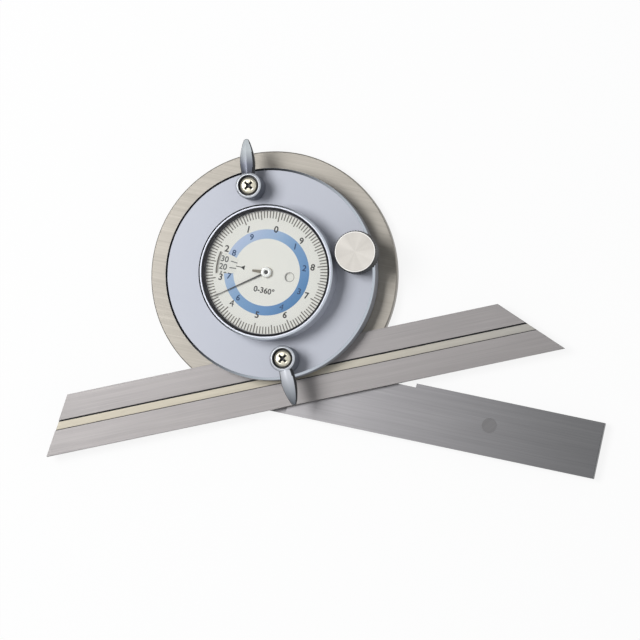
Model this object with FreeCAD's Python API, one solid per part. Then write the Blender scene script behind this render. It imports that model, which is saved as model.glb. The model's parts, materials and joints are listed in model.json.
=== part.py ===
import FreeCAD, Part
import math
import os

# Universal dial bevel protractor.
# The origin is on the pivot axis at the back of the base. +X runs along the fixed arm,
# +Z runs out of the dial. Millimetres and degrees.
# Pieces that turn with the housing are drawn with the blade along X and turned to rest_angle.

V = FreeCAD.Vector
ORIGIN = V(0, 0, 0)
UP = V(0, 0, 1)

# Setting shown: the blade's angle from the arm, and the turn of each hand piece
rest_angle = 23.5
degrees_per_pointer_turn = 10.0
dial_zero_angle = 89.4
index_angle = 180.0
angle_lever_turn = -7.0
blade_lever_turn = 2.0
lever_screw_turn = 35.0

# Clearances
snug = 0.01
running = 0.05
play = 0.1
gap = 0.3

# Base disc
disc_margin = 7.0
disc_thickness = 4.0
disc_chamfer = 0.3

# Fixed arm
arm_edge_beyond_disc = 3.1
arm_width = 21.2
arm_end = 133.8
arm_start = 15.4
arm_relief_depth = 1.5
arm_relief_end = 61.5
arm_chamfer = 0.2
rim_gap = 0.4
tang_thickness = 2.0
tang_left = -12.0
tang_corner = 10.0
plug_radius = 2.8
plug_x = 91.6
plug_above_edge = 11.4
plug_depth = 2.5

# Blade
blade_length = 200.0
blade_width = 21.4
blade_thickness = 2.0
blade_from_journal = 2.0
blade_left = -97.7
blade_left_end_angle = 60.0
blade_right_end_angle = 45.0
blade_lift = 0.2
groove_width = 3.5
groove_from_inner_edge = 8.95
groove_depth = 1.0
undercut_width = 0.6
undercut_height = 0.55

# Pivot hub on the base
journal_radius = 26.0
hub_wall = 3.4
hub_height = 4.5
hub_floor = 1.2
pillar_radius = 2.6
pillar_inset = 3.8

# Fine setting gears
fine_module = 0.5
knob_pinion_teeth = 15
ring_gear_thickness = 2.0
knob_pinion_length = 2.1

# Pointer train
train_module = 0.3
wheel_teeth = 60
pinion_teeth = 10
train_angle = 90.0
wheel_thickness = 0.8
sun_thickness = 1.0
sun_boss_radius = 8.0
sun_bore = 4.0
arbor_radius = 0.75
pivot_radius = 0.4
pivot_length = 0.8
train_pinion_length = 1.3
bridge_thickness = 1.2
bridge_width = 8.0
post_radius = 3.0
post_spigot_radius = 2.0

# Housing
housing_rim_wall = 0.7
cover_thickness = 2.4
cover_rounding = 1.25
cover_lift = 0.5
shelf_clearance = 0.1
ring_clearance = 0.25
can_floor = 1.2
can_wall = 1.9
can_rim_wall = 0.8
can_ledge_height = 6.4

# Dial
dial_radius = 23.3
dial_clearance = 0.2
dial_thickness = 0.4
degree_disc_thickness = 0.5
dial_peep_radius = 1.6
dial_peep_distance = 8.8
window_inner_radius = 11.6
window_outer_radius = 19.3
window_span = 25.0
pointer_hub_radius = 2.0
pointer_hub_height = 1.1
pointer_reach = 21.8
pointer_root_width = 0.6
pointer_tip_width = 0.16
pointer_thickness = 0.25
crystal_lift = 0.2
crystal_thickness = 0.8
bezel_wall = 1.0
bezel_lip = 0.8
bezel_bevel = 0.5

# Fine setting knob
knob_angle = 0.7
knob_from_bezel = 1.15
knob_radius = 8.05
knob_serration = 0.35
knob_serrations = 72
knob_bottom_above_cover = 2.1
knob_height = 8.5
knob_chamfer = 0.3
knob_neck_radius = 4.0
knob_shaft_radius = 2.5
knob_pivot_radius = 1.5
knob_pivot_length = 1.6
bush_wall = 1.1

# Clamp levers
stem_wall = 0.25
lever_hub_radius = 4.9
lever_hub_height = 10.8
lever_hub_rounding = 0.7
lever_recess_radius = 3.85
lever_recess_depth = 2.0
lever_reach = 17.7
lever_width = 5.0
lever_root_width = 4.3
lever_root_overlap = 1.2
lever_widest_share = 0.3
lever_tip_width = 1.2
lever_root_height = 5.4
lever_tip_height = 1.6
lever_root_drop = 0.5
lever_tip_drop = 2.6
lever_ridge_drop = 0.9
stem_radius = 1.25
stem_head_radius = 2.0
stem_head_length = 6.3
lever_screw_grip = 4.0
washer_thickness = 0.3
washer_radius = 4.4
lever_screw_head_radius = 3.1
lever_screw_head_height = 1.4
cross_slot_width = 0.75
cross_slot_length = 3.4
cross_slot_depth = 0.8
shoe_radius = 2.4
shoe_height = 2.3
claw_width = 6.0
claw_height = 1.6
claw_wall = 1.2
claw_foot = 1.4
claw_lip = 0.65
claw_lip_height = 0.3
key_length = 3.5
key_start = 6.5
key_width = 1.3
key_depth = 0.85

# Small screws
arm_screw_radius = 1.5
hub_screw_radius = 1.5
ring_screw_radius = 1.0
bridge_screw_radius = 1.0
sun_screw_radius = 0.8
cover_screw_radius = 1.25
arm_screw_pitch = 11.0
hub_screw_circle = 14.0
sun_screw_circle = 6.2
cover_screw_inset = 3.9
cover_screw_spread = 35.0
screw_bite = 1.0
screw_cover = 0.8

# Heights worked out from the sizes above
disc_top = disc_thickness
blade_bottom = disc_top + blade_lift
blade_top = blade_bottom + blade_thickness
groove_floor = blade_top - groove_depth
housing_bottom = disc_top + gap
channel_top = blade_top + play
hub_floor_top = disc_top + hub_floor
hub_top = disc_top + hub_height
bridge_bottom = hub_top - bridge_thickness
shelf_top = hub_top - shelf_clearance
ring_top = hub_top + ring_gear_thickness
cover_bottom = ring_top + cover_lift
cover_top = cover_bottom + cover_thickness
can_floor_top = cover_bottom + can_floor
ledge_top = cover_top + can_ledge_height
degree_disc_top = ledge_top + degree_disc_thickness
dial_bottom = degree_disc_top + gap
dial_top = dial_bottom + dial_thickness
pointer_hub_top = dial_top + gap + pointer_hub_height
crystal_bottom = pointer_hub_top + crystal_lift
crystal_top = crystal_bottom + crystal_thickness
bezel_top = crystal_top + bezel_lip
lever_bottom = cover_top + washer_thickness
lever_top = lever_bottom + lever_hub_height
knob_bottom = cover_top + knob_bottom_above_cover
knob_top = knob_bottom + knob_height

# Places worked out from the sizes above, from the dial outwards
can_rim_inner_radius = dial_radius + dial_clearance
can_outer_radius = can_rim_inner_radius + can_rim_wall
can_inner_radius = can_outer_radius - can_wall
bezel_radius = can_outer_radius + bezel_wall
bezel_opening = dial_radius - snug
ring_teeth = round(2 * (bezel_radius + knob_from_bezel + knob_radius) / fine_module) - knob_pinion_teeth
ring_pitch_radius = fine_module * ring_teeth / 2
knob_circle = fine_module * (ring_teeth + knob_pinion_teeth) / 2
train_circle = train_module * (wheel_teeth + pinion_teeth) / 2
ring_cavity_radius = ring_pitch_radius + fine_module + ring_clearance
pinion_pocket_radius = fine_module * (knob_pinion_teeth / 2 + 1) + ring_clearance
bush_radius = knob_shaft_radius + bush_wall
lever_circle = ring_cavity_radius + stem_wall + stem_radius
housing_radius = knob_circle + pinion_pocket_radius + housing_rim_wall
disc_radius = housing_radius + disc_margin
arm_edge = disc_radius + arm_edge_beyond_disc
hub_inner_radius = journal_radius - hub_wall
pillar_circle = hub_inner_radius - pillar_inset
ring_screw_circle = journal_radius - hub_wall / 2
cover_screw_circle = housing_radius - cover_screw_inset
blade_inner_edge = journal_radius + blade_from_journal
blade_edge = blade_inner_edge + blade_width
groove_high = blade_inner_edge + groove_from_inner_edge
groove_low = groove_high + groove_width
pointer_angle = dial_zero_angle + rest_angle % degrees_per_pointer_turn * 360 / degrees_per_pointer_turn


def at(radius, angle, height=0.0):
    """Point at a radius and an angle round the pivot."""
    turn = math.radians(angle)
    return V(radius * math.cos(turn), radius * math.sin(turn), height)


def rod(radius, bottom, top, place=ORIGIN):
    """Upright cylinder between two heights."""
    return Part.makeCylinder(radius, top - bottom, V(place.x, place.y, bottom), UP)


def ring(outer, inner, bottom, top, place=ORIGIN):
    """Upright tube between two heights."""
    return rod(outer, bottom, top, place).cut(rod(inner, bottom - 1, top + 1, place))


def block(x_low, x_high, y_low, y_high, bottom, top):
    """Box between two corners."""
    return Part.makeBox(x_high - x_low, y_high - y_low, top - bottom, V(x_low, y_low, bottom))


def plate(points, bottom, top):
    """Straight-sided plate on an outline of (x, y) points."""
    outline = Part.makePolygon([V(x, y, bottom) for x, y in points + points[:1]])
    return Part.Face(outline).extrude(V(0, 0, top - bottom))


def turned_profile(points, place=ORIGIN):
    """Solid of revolution from (radius, height) points."""
    outline = Part.makePolygon([V(r, 0, z) for r, z in points + points[:1]])
    solid = Part.Face(outline).revolve(ORIGIN, UP, 360)
    solid.translate(V(place.x, place.y, 0))
    return solid


def joined(shapes):
    """One solid from shapes that touch or cross."""
    first, rest = shapes[0], shapes[1:]
    return first.fuse(rest).removeSplitter() if rest else first


def with_housing(shape):
    """Turns a piece drawn along the blade to the setting shown."""
    placed = shape.copy()
    placed.rotate(ORIGIN, UP, rest_angle)
    return placed


def countersunk_screw(radius, head_face, tip, place):
    """Flat-head screw whose head face is at one height and whose tip is at another."""
    way = 1 if tip > head_face else -1
    neck = head_face + way * radius
    screw = [(0, head_face), (2 * radius, head_face), (radius, neck), (radius, tip), (0, tip)]
    return turned_profile(screw, place)


def screw_hole(radius, head_face, tip, place):
    """Hole that a countersunk screw fills, wider by the snug clearance."""
    way = 1 if tip > head_face else -1
    wide = radius + snug
    neck = head_face + way * radius
    hole = [(0, head_face - way), (2 * radius + snug, head_face - way), (2 * radius + snug, head_face),
            (wide, neck), (wide, tip + way * play), (0, tip + way * play)]
    return turned_profile(hole, place)


def involute(angle):
    """Involute function of a pressure angle in radians."""
    return math.tan(angle) - angle


def gear(teeth, module, bottom, top, place=ORIGIN, phase=0.0, addendum=1.0, backlash=0.04):
    """Spur gear with 20 degree teeth, one tooth centred at the phase angle."""
    pitch = module * teeth / 2
    base = pitch * math.cos(math.radians(20))
    root = pitch - 1.25 * module
    tip = pitch + addendum * module
    flank_start = max(base, root)
    half_at_pitch = math.pi / (2 * teeth) - backlash / (2 * pitch)

    def half_width(radius):
        pressure = math.acos(min(1.0, base / radius))
        return half_at_pitch + involute(math.radians(20)) - involute(pressure)

    flank = [(root, half_width(flank_start)), (tip, half_width(tip))]
    points = []
    for tooth in range(teeth):
        middle = math.radians(phase) + 2 * math.pi * tooth / teeth
        side = [(r, middle - half) for r, half in flank] + [(r, middle + half) for r, half in flank[::-1]]
        points += [(place.x + r * math.cos(a), place.y + r * math.sin(a)) for r, a in side]
    return plate(points, bottom, top)


def mesh_phase(driver_teeth, driver_phase, follower_teeth, direction):
    """Phase of a gear whose gap meets a driver's tooth, where direction points driver to follower."""
    driver_step = driver_teeth * (direction - driver_phase) / 360
    return direction + 180 - (0.5 - driver_step) * 360 / follower_teeth


def arm_outline(clearance=0.0):
    """Tang of the arm as seen from above."""
    low = -arm_edge - clearance
    high = -arm_edge + arm_width - arm_relief_depth + clearance
    left = tang_left - clearance
    return [(arm_relief_end, low), (arm_relief_end, high), (left, high), (left, low + tang_corner),
            (left + tang_corner, low)]


def arm_screw_places():
    row = -arm_edge + arm_width - arm_relief_depth - 3 * arm_screw_radius
    return [V(tang_left + 3 * arm_screw_radius + step * arm_screw_pitch, row, 0) for step in range(3)]


def hub_screw_places():
    return [at(hub_screw_circle, 90 + 120 * turn) for turn in range(3)]


def ring_screw_places():
    return [at(ring_screw_circle, 30 + 120 * turn) for turn in range(3)]


def pillar_places():
    return [at(pillar_circle, train_angle + side) for side in (-90, 90)]


def sun_screw_places():
    return [at(sun_screw_circle, 30 + 120 * turn) for turn in range(3)]


def cover_screw_places():
    turns = (cover_screw_spread, 180 - cover_screw_spread, 180 + cover_screw_spread, -cover_screw_spread)
    return [at(cover_screw_circle, turn) for turn in turns]


def base_disc():
    disc = turned_profile([(0, 0), (disc_radius, 0), (disc_radius, disc_top - disc_chamfer),
                           (disc_radius - disc_chamfer, disc_top), (0, disc_top)])
    disc = disc.cut(plate(arm_outline(snug), -1, tang_thickness + snug))
    for place in arm_screw_places():
        disc = disc.cut(screw_hole(arm_screw_radius, 0, disc_top - screw_cover, place))
    for place in hub_screw_places():
        disc = disc.cut(screw_hole(hub_screw_radius, 0, disc_top + screw_bite, place))
    return disc


def arm():
    low = -arm_edge
    high = low + arm_width
    tang = plate(arm_outline(), 0, tang_thickness)
    bar = plate([(arm_start, low), (arm_end, low), (arm_end, high), (arm_relief_end, high),
                 (arm_relief_end, high - arm_relief_depth), (arm_start, high - arm_relief_depth)], 0, disc_top)
    rim = rod(disc_radius + rim_gap, tang_thickness, disc_top + 1)
    whole = joined([tang, bar.cut(rim)])
    end_edges = [edge for edge in whole.Edges if edge.BoundBox.XMin > arm_end - 0.01
                 and edge.BoundBox.ZLength < 0.01]
    whole = whole.makeChamfer(arm_chamfer, end_edges)
    plug = rod(plug_radius + snug, disc_top - plug_depth, disc_top + 1, V(plug_x, low + plug_above_edge, 0))
    whole = whole.cut(plug)
    for place in arm_screw_places():
        whole = whole.cut(screw_hole(arm_screw_radius, 0, disc_top - screw_cover, place))
    return whole


def arm_plug():
    return rod(plug_radius, disc_top - plug_depth, disc_top, V(plug_x, plug_above_edge - arm_edge, 0))


def pivot_hub():
    cup = ring(journal_radius, hub_inner_radius, disc_top, hub_top)
    floor = rod(journal_radius - 1, disc_top, hub_floor_top)
    pillars = [rod(pillar_radius, disc_top, bridge_bottom, place) for place in pillar_places()]
    hub = joined([cup, floor] + pillars)
    for place in hub_screw_places():
        hub = hub.cut(rod(hub_screw_radius + snug, disc_top - 1, disc_top + screw_bite + play, place))
    for place in ring_screw_places():
        hub = hub.cut(rod(ring_screw_radius + snug, hub_floor_top - play, hub_top + 1, place))
    for place in pillar_places():
        hub = hub.cut(rod(bridge_screw_radius + snug, hub_floor_top - play, bridge_bottom + 1, place))
    for place in (ORIGIN, at(train_circle, train_angle)):
        hub = hub.cut(rod(pivot_radius + running, hub_floor_top - pivot_length - play, hub_floor_top + 1, place))
    return hub


def ring_gear():
    blank = gear(ring_teeth, fine_module, hub_top, ring_top)
    blank = blank.cut(rod(hub_inner_radius, hub_top - 1, ring_top + 1))
    for place in ring_screw_places():
        blank = blank.cut(screw_hole(ring_screw_radius, ring_top, hub_floor_top, place))
    return blank


def train_bridge():
    bar = block(-pillar_circle, pillar_circle, -bridge_width / 2, bridge_width / 2, bridge_bottom, hub_top)
    ends = [rod(bridge_width / 2 - play, bridge_bottom, hub_top, V(side * pillar_circle, 0, 0)) for side in (-1, 1)]
    ends = [end.common(rod(hub_inner_radius - gap, 0, hub_top)) for end in ends]
    nose = block(-bridge_width / 2, bridge_width / 2, 0, train_circle, bridge_bottom, hub_top)
    tip = rod(bridge_width / 2, bridge_bottom, hub_top, V(0, train_circle, 0))
    bridge = joined([bar.common(rod(hub_inner_radius - gap, 0, hub_top))] + ends + [nose, tip])
    bridge.rotate(ORIGIN, UP, train_angle - 90)
    bridge = bridge.cut(rod(post_spigot_radius + snug, bridge_bottom - 1, hub_top + 1))
    bridge = bridge.cut(rod(arbor_radius + running, bridge_bottom - 1, hub_top + 1, at(train_circle, train_angle)))
    for place in pillar_places():
        bridge = bridge.cut(screw_hole(bridge_screw_radius, hub_top, hub_floor_top, place))
    return bridge


def dial_post():
    post = turned_profile([(arbor_radius + running, bridge_bottom), (post_spigot_radius, bridge_bottom),
                           (post_spigot_radius, hub_top), (post_radius, hub_top), (post_radius, dial_bottom),
                           (post_spigot_radius, dial_bottom), (post_spigot_radius, dial_top),
                           (arbor_radius + running, dial_top)])
    return post


def dial_plate():
    disc = ring(dial_radius, post_spigot_radius + snug, dial_bottom, dial_top)
    start = index_angle - window_span / 2
    window = ring(window_outer_radius, window_inner_radius, dial_bottom - 1, dial_top + 1)
    reach = 2 * dial_radius
    sides = [at(reach, start), at(reach, start + window_span)]
    wedge = plate([(0, 0)] + [(p.x, p.y) for p in sides], dial_bottom - 1, dial_top + 1)
    peep = rod(dial_peep_radius, dial_bottom - 1, dial_top + 1, V(dial_peep_distance, 0, 0))
    return disc.cut(window.common(wedge)).cut(peep)


def housing_body():
    body = turned_profile([(journal_radius + running, housing_bottom), (housing_radius, housing_bottom),
                           (housing_radius, cover_bottom), (ring_cavity_radius, cover_bottom),
                           (ring_cavity_radius, shelf_top), (journal_radius + running, shelf_top)])
    reach = housing_radius + 1
    cuts = [block(-reach, reach, -reach, -(blade_inner_edge - play), housing_bottom - 1, channel_top)]
    knob_place = at(knob_circle, knob_angle)
    cuts.append(rod(pinion_pocket_radius, shelf_top, cover_bottom + 1, knob_place))
    cuts.append(rod(knob_pivot_radius + running, shelf_top - knob_pivot_length - play, shelf_top + 1, knob_place))
    cuts.append(rod(stem_radius + running, housing_bottom - 1, cover_bottom + 1, V(0, lever_circle, 0)))
    cuts.append(rod(stem_radius + running, housing_bottom - 1, cover_bottom + 1, V(0, -lever_circle, 0)))
    cuts.append(rod(shoe_radius + running, housing_bottom - 1, shoe_top(), V(0, lever_circle, 0)))
    half = claw_width / 2 + play
    cuts.append(block(-half, half, -claw_far() - play, -claw_near() + play, channel_top - 1, claw_top()))
    for place in cover_screw_places():
        cuts.append(screw_hole(cover_screw_radius, housing_bottom, cover_top - screw_cover, place))
    return body.cut(cuts)


def housing_cover():
    lip = cover_rounding
    face = turned_profile([(sun_bore, cover_bottom), (housing_radius, cover_bottom),
                           (housing_radius, cover_top - lip), (housing_radius - lip, cover_top),
                           (can_outer_radius, cover_top), (can_outer_radius, crystal_bottom),
                           (can_rim_inner_radius, crystal_bottom), (can_rim_inner_radius, ledge_top),
                           (can_inner_radius, ledge_top), (can_inner_radius, can_floor_top),
                           (sun_bore, can_floor_top)])
    cuts = [rod(bush_radius + snug, cover_bottom - 1, cover_top + 1, at(knob_circle, knob_angle))]
    cuts.append(rod(stem_radius + running, cover_bottom - 1, cover_top + 1, V(0, lever_circle, 0)))
    cuts.append(rod(stem_radius + running, cover_bottom - 1, cover_top + 1, V(0, -lever_circle, 0)))
    for place in cover_screw_places():
        cuts.append(rod(cover_screw_radius + snug, cover_bottom - 1, cover_top - screw_cover + play, place))
    for place in sun_screw_places():
        cuts.append(screw_hole(sun_screw_radius, can_floor_top, sun_bottom() + gap, place))
    return face.cut(cuts)


def sun_bottom():
    return ring_top - sun_thickness


def sun_gear():
    wheel = gear(wheel_teeth, train_module, sun_bottom(), ring_top, addendum=0.8)
    boss = rod(sun_boss_radius, ring_top, cover_bottom)
    wheel = joined([wheel, boss]).cut(rod(sun_bore, sun_bottom() - 1, cover_bottom + 1))
    for place in sun_screw_places():
        wheel = wheel.cut(rod(sun_screw_radius + snug, sun_bottom() + gap - play, cover_bottom + 1, place))
    return wheel


def degree_disc():
    return ring(can_rim_inner_radius - snug, sun_bore, ledge_top, degree_disc_top)


def crystal():
    return rod(can_outer_radius, crystal_bottom, crystal_top)


def bezel():
    return turned_profile([(can_outer_radius + snug, cover_top), (bezel_radius, cover_top),
                           (bezel_radius, bezel_top - bezel_bevel), (bezel_radius - bezel_bevel, bezel_top),
                           (can_outer_radius, bezel_top), (bezel_opening, crystal_top + bezel_lip / 2),
                           (bezel_opening, crystal_top), (can_outer_radius + snug, crystal_top)])


def train_arbor_phase():
    sun_phase = rest_angle
    return mesh_phase(wheel_teeth, sun_phase, pinion_teeth, train_angle)


def train_arbor():
    place = at(train_circle, train_angle)
    pinion_bottom = hub_top + gap
    pinion_top = pinion_bottom + gap + train_pinion_length + gap
    stalk = joined([rod(pivot_radius, hub_floor_top - pivot_length, hub_floor_top + gap, place),
                    rod(arbor_radius, hub_floor_top + gap, pinion_bottom, place)])
    pinion = gear(pinion_teeth, train_module, pinion_bottom, pinion_top, place, train_arbor_phase(),
                  addendum=0.9)
    return joined([stalk, pinion])


def wheel_bottom():
    return hub_floor_top + gap + 0.2


def train_wheel():
    place = at(train_circle, train_angle)
    wheel = gear(wheel_teeth, train_module, wheel_bottom(), wheel_bottom() + wheel_thickness, place,
                 addendum=0.8)
    return wheel.cut(rod(arbor_radius + snug, wheel_bottom() - 1, wheel_bottom() + wheel_thickness + 1, place))


def pointer_arbor():
    phase = mesh_phase(wheel_teeth, 0.0, pinion_teeth, train_angle + 180)
    pinion_bottom = hub_floor_top + gap
    pinion_top = wheel_bottom() + wheel_thickness + 0.2
    rise = joined([rod(pivot_radius, hub_floor_top - pivot_length, pinion_bottom),
                   rod(arbor_radius, pinion_bottom, pointer_hub_top - gap)])
    return joined([rise, gear(pinion_teeth, train_module, pinion_bottom, pinion_top, phase=phase, addendum=0.9)])


def pointer():
    hub = turned_profile([(arbor_radius + snug, dial_top + gap), (pointer_hub_radius, dial_top + gap),
                          (pointer_hub_radius, pointer_hub_top - gap), (pointer_hub_radius - gap, pointer_hub_top),
                          (arbor_radius + snug, pointer_hub_top)])
    start = pointer_hub_radius - gap
    low = dial_top + gap + pointer_thickness
    needle = plate([(start, -pointer_root_width / 2), (pointer_reach, -pointer_tip_width / 2),
                    (pointer_reach, pointer_tip_width / 2), (start, pointer_root_width / 2)],
                   low, low + pointer_thickness)
    whole = joined([hub, needle])
    whole.rotate(ORIGIN, UP, pointer_angle)
    return whole


def knob():
    place = at(knob_circle, knob_angle)
    points = []
    for step in range(knob_serrations):
        for part_turn, depth in ((0.0, 0.0), (0.5, knob_serration)):
            turn = 2 * math.pi * (step + part_turn) / knob_serrations
            radius = knob_radius - depth
            points.append((place.x + radius * math.cos(turn), place.y + radius * math.sin(turn)))
    serrated = plate(points, knob_bottom, knob_top - knob_chamfer)
    inner = knob_radius - knob_serration
    crown = turned_profile([(0, knob_top - 2 * knob_chamfer), (inner, knob_top - 2 * knob_chamfer),
                            (inner, knob_top - knob_chamfer), (inner - knob_chamfer, knob_top), (0, knob_top)],
                           place)
    neck = rod(knob_neck_radius, cover_top + gap, knob_bottom + 1, place)
    whole = joined([serrated, crown, neck])
    return whole.cut(rod(knob_shaft_radius + snug, cover_top, knob_shaft_top(), place))


def knob_shaft_top():
    return knob_top - 2.0


def knob_shaft():
    place = at(knob_circle, knob_angle)
    base_phase = -rest_angle
    phase = mesh_phase(ring_teeth, base_phase, knob_pinion_teeth, knob_angle)
    pinion_bottom = hub_top
    pinion = gear(knob_pinion_teeth, fine_module, pinion_bottom, pinion_bottom + knob_pinion_length, place, phase)
    pivot = rod(knob_pivot_radius, shelf_top - knob_pivot_length, pinion_bottom, place)
    shaft = rod(knob_shaft_radius, pinion_bottom, knob_shaft_top(), place)
    return joined([pivot, pinion, shaft])


def knob_bush():
    return ring(bush_radius, knob_shaft_radius + running, cover_bottom, cover_top, at(knob_circle, knob_angle))


def lever_handle():
    """Leaf-shaped thumb piece that points along +X from its hub's axis."""
    root = lever_hub_radius - lever_root_overlap
    widest = root + lever_widest_share * (lever_reach - root)
    half = lever_width / 2
    root_half = lever_root_width / 2
    tip_half = lever_tip_width / 2
    near_tip = (widest + lever_reach) / 2
    bulge = 0.82 * half
    left = Part.Arc(V(root, root_half, 0), V(widest, half, 0), V(near_tip, bulge, 0)).toShape()
    left_tip = Part.LineSegment(V(near_tip, bulge, 0), V(lever_reach, tip_half, 0)).toShape()
    tip = Part.LineSegment(V(lever_reach, tip_half, 0), V(lever_reach, -tip_half, 0)).toShape()
    right_tip = Part.LineSegment(V(lever_reach, -tip_half, 0), V(near_tip, -bulge, 0)).toShape()
    right = Part.Arc(V(near_tip, -bulge, 0), V(widest, -half, 0), V(root, -root_half, 0)).toShape()
    back = Part.LineSegment(V(root, -root_half, 0), V(root, root_half, 0)).toShape()
    leaf = Part.Face(Part.Wire([left, left_tip, tip, right_tip, right, back])).extrude(V(0, 0, lever_top))
    crest = lever_top - lever_root_drop
    sole = crest - lever_root_height
    tip_crest = crest - lever_tip_drop
    side_view = Part.makePolygon([V(root, 0, sole), V(root, 0, crest), V(lever_reach, 0, tip_crest),
                                  V(lever_reach, 0, tip_crest - lever_tip_height), V(root, 0, sole)])
    reach = lever_width
    slab = Part.Face(side_view).extrude(V(0, 2 * reach, 0))
    slab.translate(V(0, -reach, 0))
    shape = leaf.common(slab)
    return bevelled_ridge(shape, root, crest, tip_crest)


def bevelled_ridge(shape, root, crest, tip_crest):
    """Slopes both sides of the handle's top down from a ridge along its middle."""
    drop = lever_ridge_drop
    for side in (1, -1):
        wedge = Part.Face(Part.makePolygon([V(root - 1, 0, crest), V(root - 1, side * lever_width, crest - 2 * drop),
                                            V(root - 1, side * lever_width, crest + 2), V(root - 1, 0, crest + 2),
                                            V(root - 1, 0, crest)]))
        slope = (tip_crest - crest) / (lever_reach - root)
        run = lever_reach - root + 2
        shape = shape.cut(wedge.extrude(V(run, 0, slope * run)))
    return shape


def lever(side, turn):
    """Clamp lever on one side of the dial, 1 above it and -1 below it."""
    place = V(0, side * lever_circle, 0)
    soft = lever_hub_rounding
    recess = lever_top - lever_recess_depth
    hub = turned_profile([(stem_head_radius + snug, lever_bottom), (lever_hub_radius, lever_bottom),
                          (lever_hub_radius, lever_top - soft), (lever_hub_radius - soft, lever_top),
                          (lever_recess_radius + soft / 3, lever_top), (lever_recess_radius, lever_top - soft / 3),
                          (lever_recess_radius, recess), (stem_radius + snug, recess),
                          (stem_radius + snug, stem_head_top()), (stem_head_radius + snug, stem_head_top())])
    handle = lever_handle().cut(rod(lever_recess_radius + soft / 3, 0, lever_top + 1))
    whole = joined([hub, handle])
    whole.rotate(ORIGIN, UP, 90 * side + turn)
    whole.translate(place)
    return whole


def stem_head_top():
    return lever_bottom + stem_head_length


def shoe_top():
    return disc_top + play + shoe_height


def lever_stem(side, foot):
    place = V(0, side * lever_circle, 0)
    stem = turned_profile([(0, foot), (stem_radius, foot), (stem_radius, lever_bottom),
                           (stem_head_radius, lever_bottom), (stem_head_radius, stem_head_top()),
                           (0, stem_head_top())], place)
    return stem.cut(rod(stem_radius + snug, stem_head_top() - lever_screw_grip - play, stem_head_top() + 1, place))


def lever_screw(side, turn):
    """Pan-head screw with a cross recess that holds a lever on its stem."""
    seat = lever_top - lever_recess_depth
    top = seat + lever_screw_head_height
    edge = lever_screw_head_radius
    head = turned_profile([(0, stem_head_top() - lever_screw_grip), (stem_radius, stem_head_top() - lever_screw_grip),
                           (stem_radius, seat), (edge, seat), (edge, top - 0.6), (edge * 0.8, top - 0.15),
                           (edge * 0.5, top), (0, top)])
    long, wide = cross_slot_length / 2, cross_slot_width / 2
    floor = top - cross_slot_depth
    head = head.cut([block(-long, long, -wide, wide, floor, top + 1), block(-wide, wide, -long, long, floor, top + 1)])
    head.rotate(ORIGIN, UP, turn)
    head.translate(V(0, side * lever_circle, 0))
    return head


def lever_washers():
    washers = [ring(washer_radius, stem_radius + running, cover_top, lever_bottom, V(0, side * lever_circle, 0))
               for side in (1, -1)]
    return Part.makeCompound(washers)


def brake_shoe():
    return rod(shoe_radius, disc_top + play, shoe_top(), V(0, lever_circle, 0))


def claw_near():
    return lever_circle - stem_radius - claw_wall


def claw_far():
    return groove_high + gap + claw_foot


def claw_top():
    return channel_top + play + claw_height


def blade_claw():
    half = claw_width / 2
    low = groove_floor + play
    bridge = block(-half, half, -claw_far(), -claw_near(), channel_top + play, claw_top())
    foot = block(-half, half, -claw_far(), -(groove_high + gap), low, channel_top + play)
    lip = block(-half, half, -(groove_high + gap), -(groove_high + gap - claw_lip), low, low + claw_lip_height)
    claw = joined([bridge, foot, lip])
    return claw.cut(rod(stem_radius + running, 0, cover_top, V(0, -lever_circle, 0)))


def blade_guide_keys():
    near = groove_high + play
    keys = [block(start, start + key_length, -near - key_width, -near, channel_top - key_depth, channel_top)
            for start in (key_start, -key_start - key_length)]
    return Part.makeCompound(keys)


def blade():
    low = -blade_edge
    high = low + blade_width
    right = blade_left + blade_length
    left_shift = blade_width / math.tan(math.radians(blade_left_end_angle))
    right_shift = blade_width / math.tan(math.radians(blade_right_end_angle))
    bar = plate([(blade_left, low), (right, low), (right - right_shift, high), (blade_left + left_shift, high)],
                blade_bottom, blade_top)
    reach = blade_length * 2
    groove = block(-reach, reach, -groove_low, -groove_high, groove_floor, blade_top + 1)
    undercut = block(-reach, reach, -groove_high, -groove_high + undercut_width, groove_floor,
                     groove_floor + undercut_height)
    return bar.cut([groove, undercut])


def screws(radius, head_face, tip, places):
    return Part.makeCompound([countersunk_screw(radius, head_face, tip, place) for place in places])


def base_pieces():
    return {
        "base_disc": base_disc(),
        "arm": arm(),
        "arm_plug": arm_plug(),
        "arm_screws": screws(arm_screw_radius, 0, disc_top - screw_cover, arm_screw_places()),
        "pivot_hub": pivot_hub(),
        "hub_screws": screws(hub_screw_radius, 0, disc_top + screw_bite, hub_screw_places()),
        "ring_gear": ring_gear(),
        "ring_gear_screws": screws(ring_screw_radius, ring_top, hub_floor_top, ring_screw_places()),
        "train_bridge": train_bridge(),
        "bridge_screws": screws(bridge_screw_radius, hub_top, hub_floor_top, pillar_places()),
        "dial_post": dial_post(),
        "dial_plate": dial_plate(),
        "train_arbor": train_arbor(),
        "train_wheel": train_wheel(),
        "pointer_arbor": pointer_arbor(),
        "pointer": pointer()}


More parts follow.
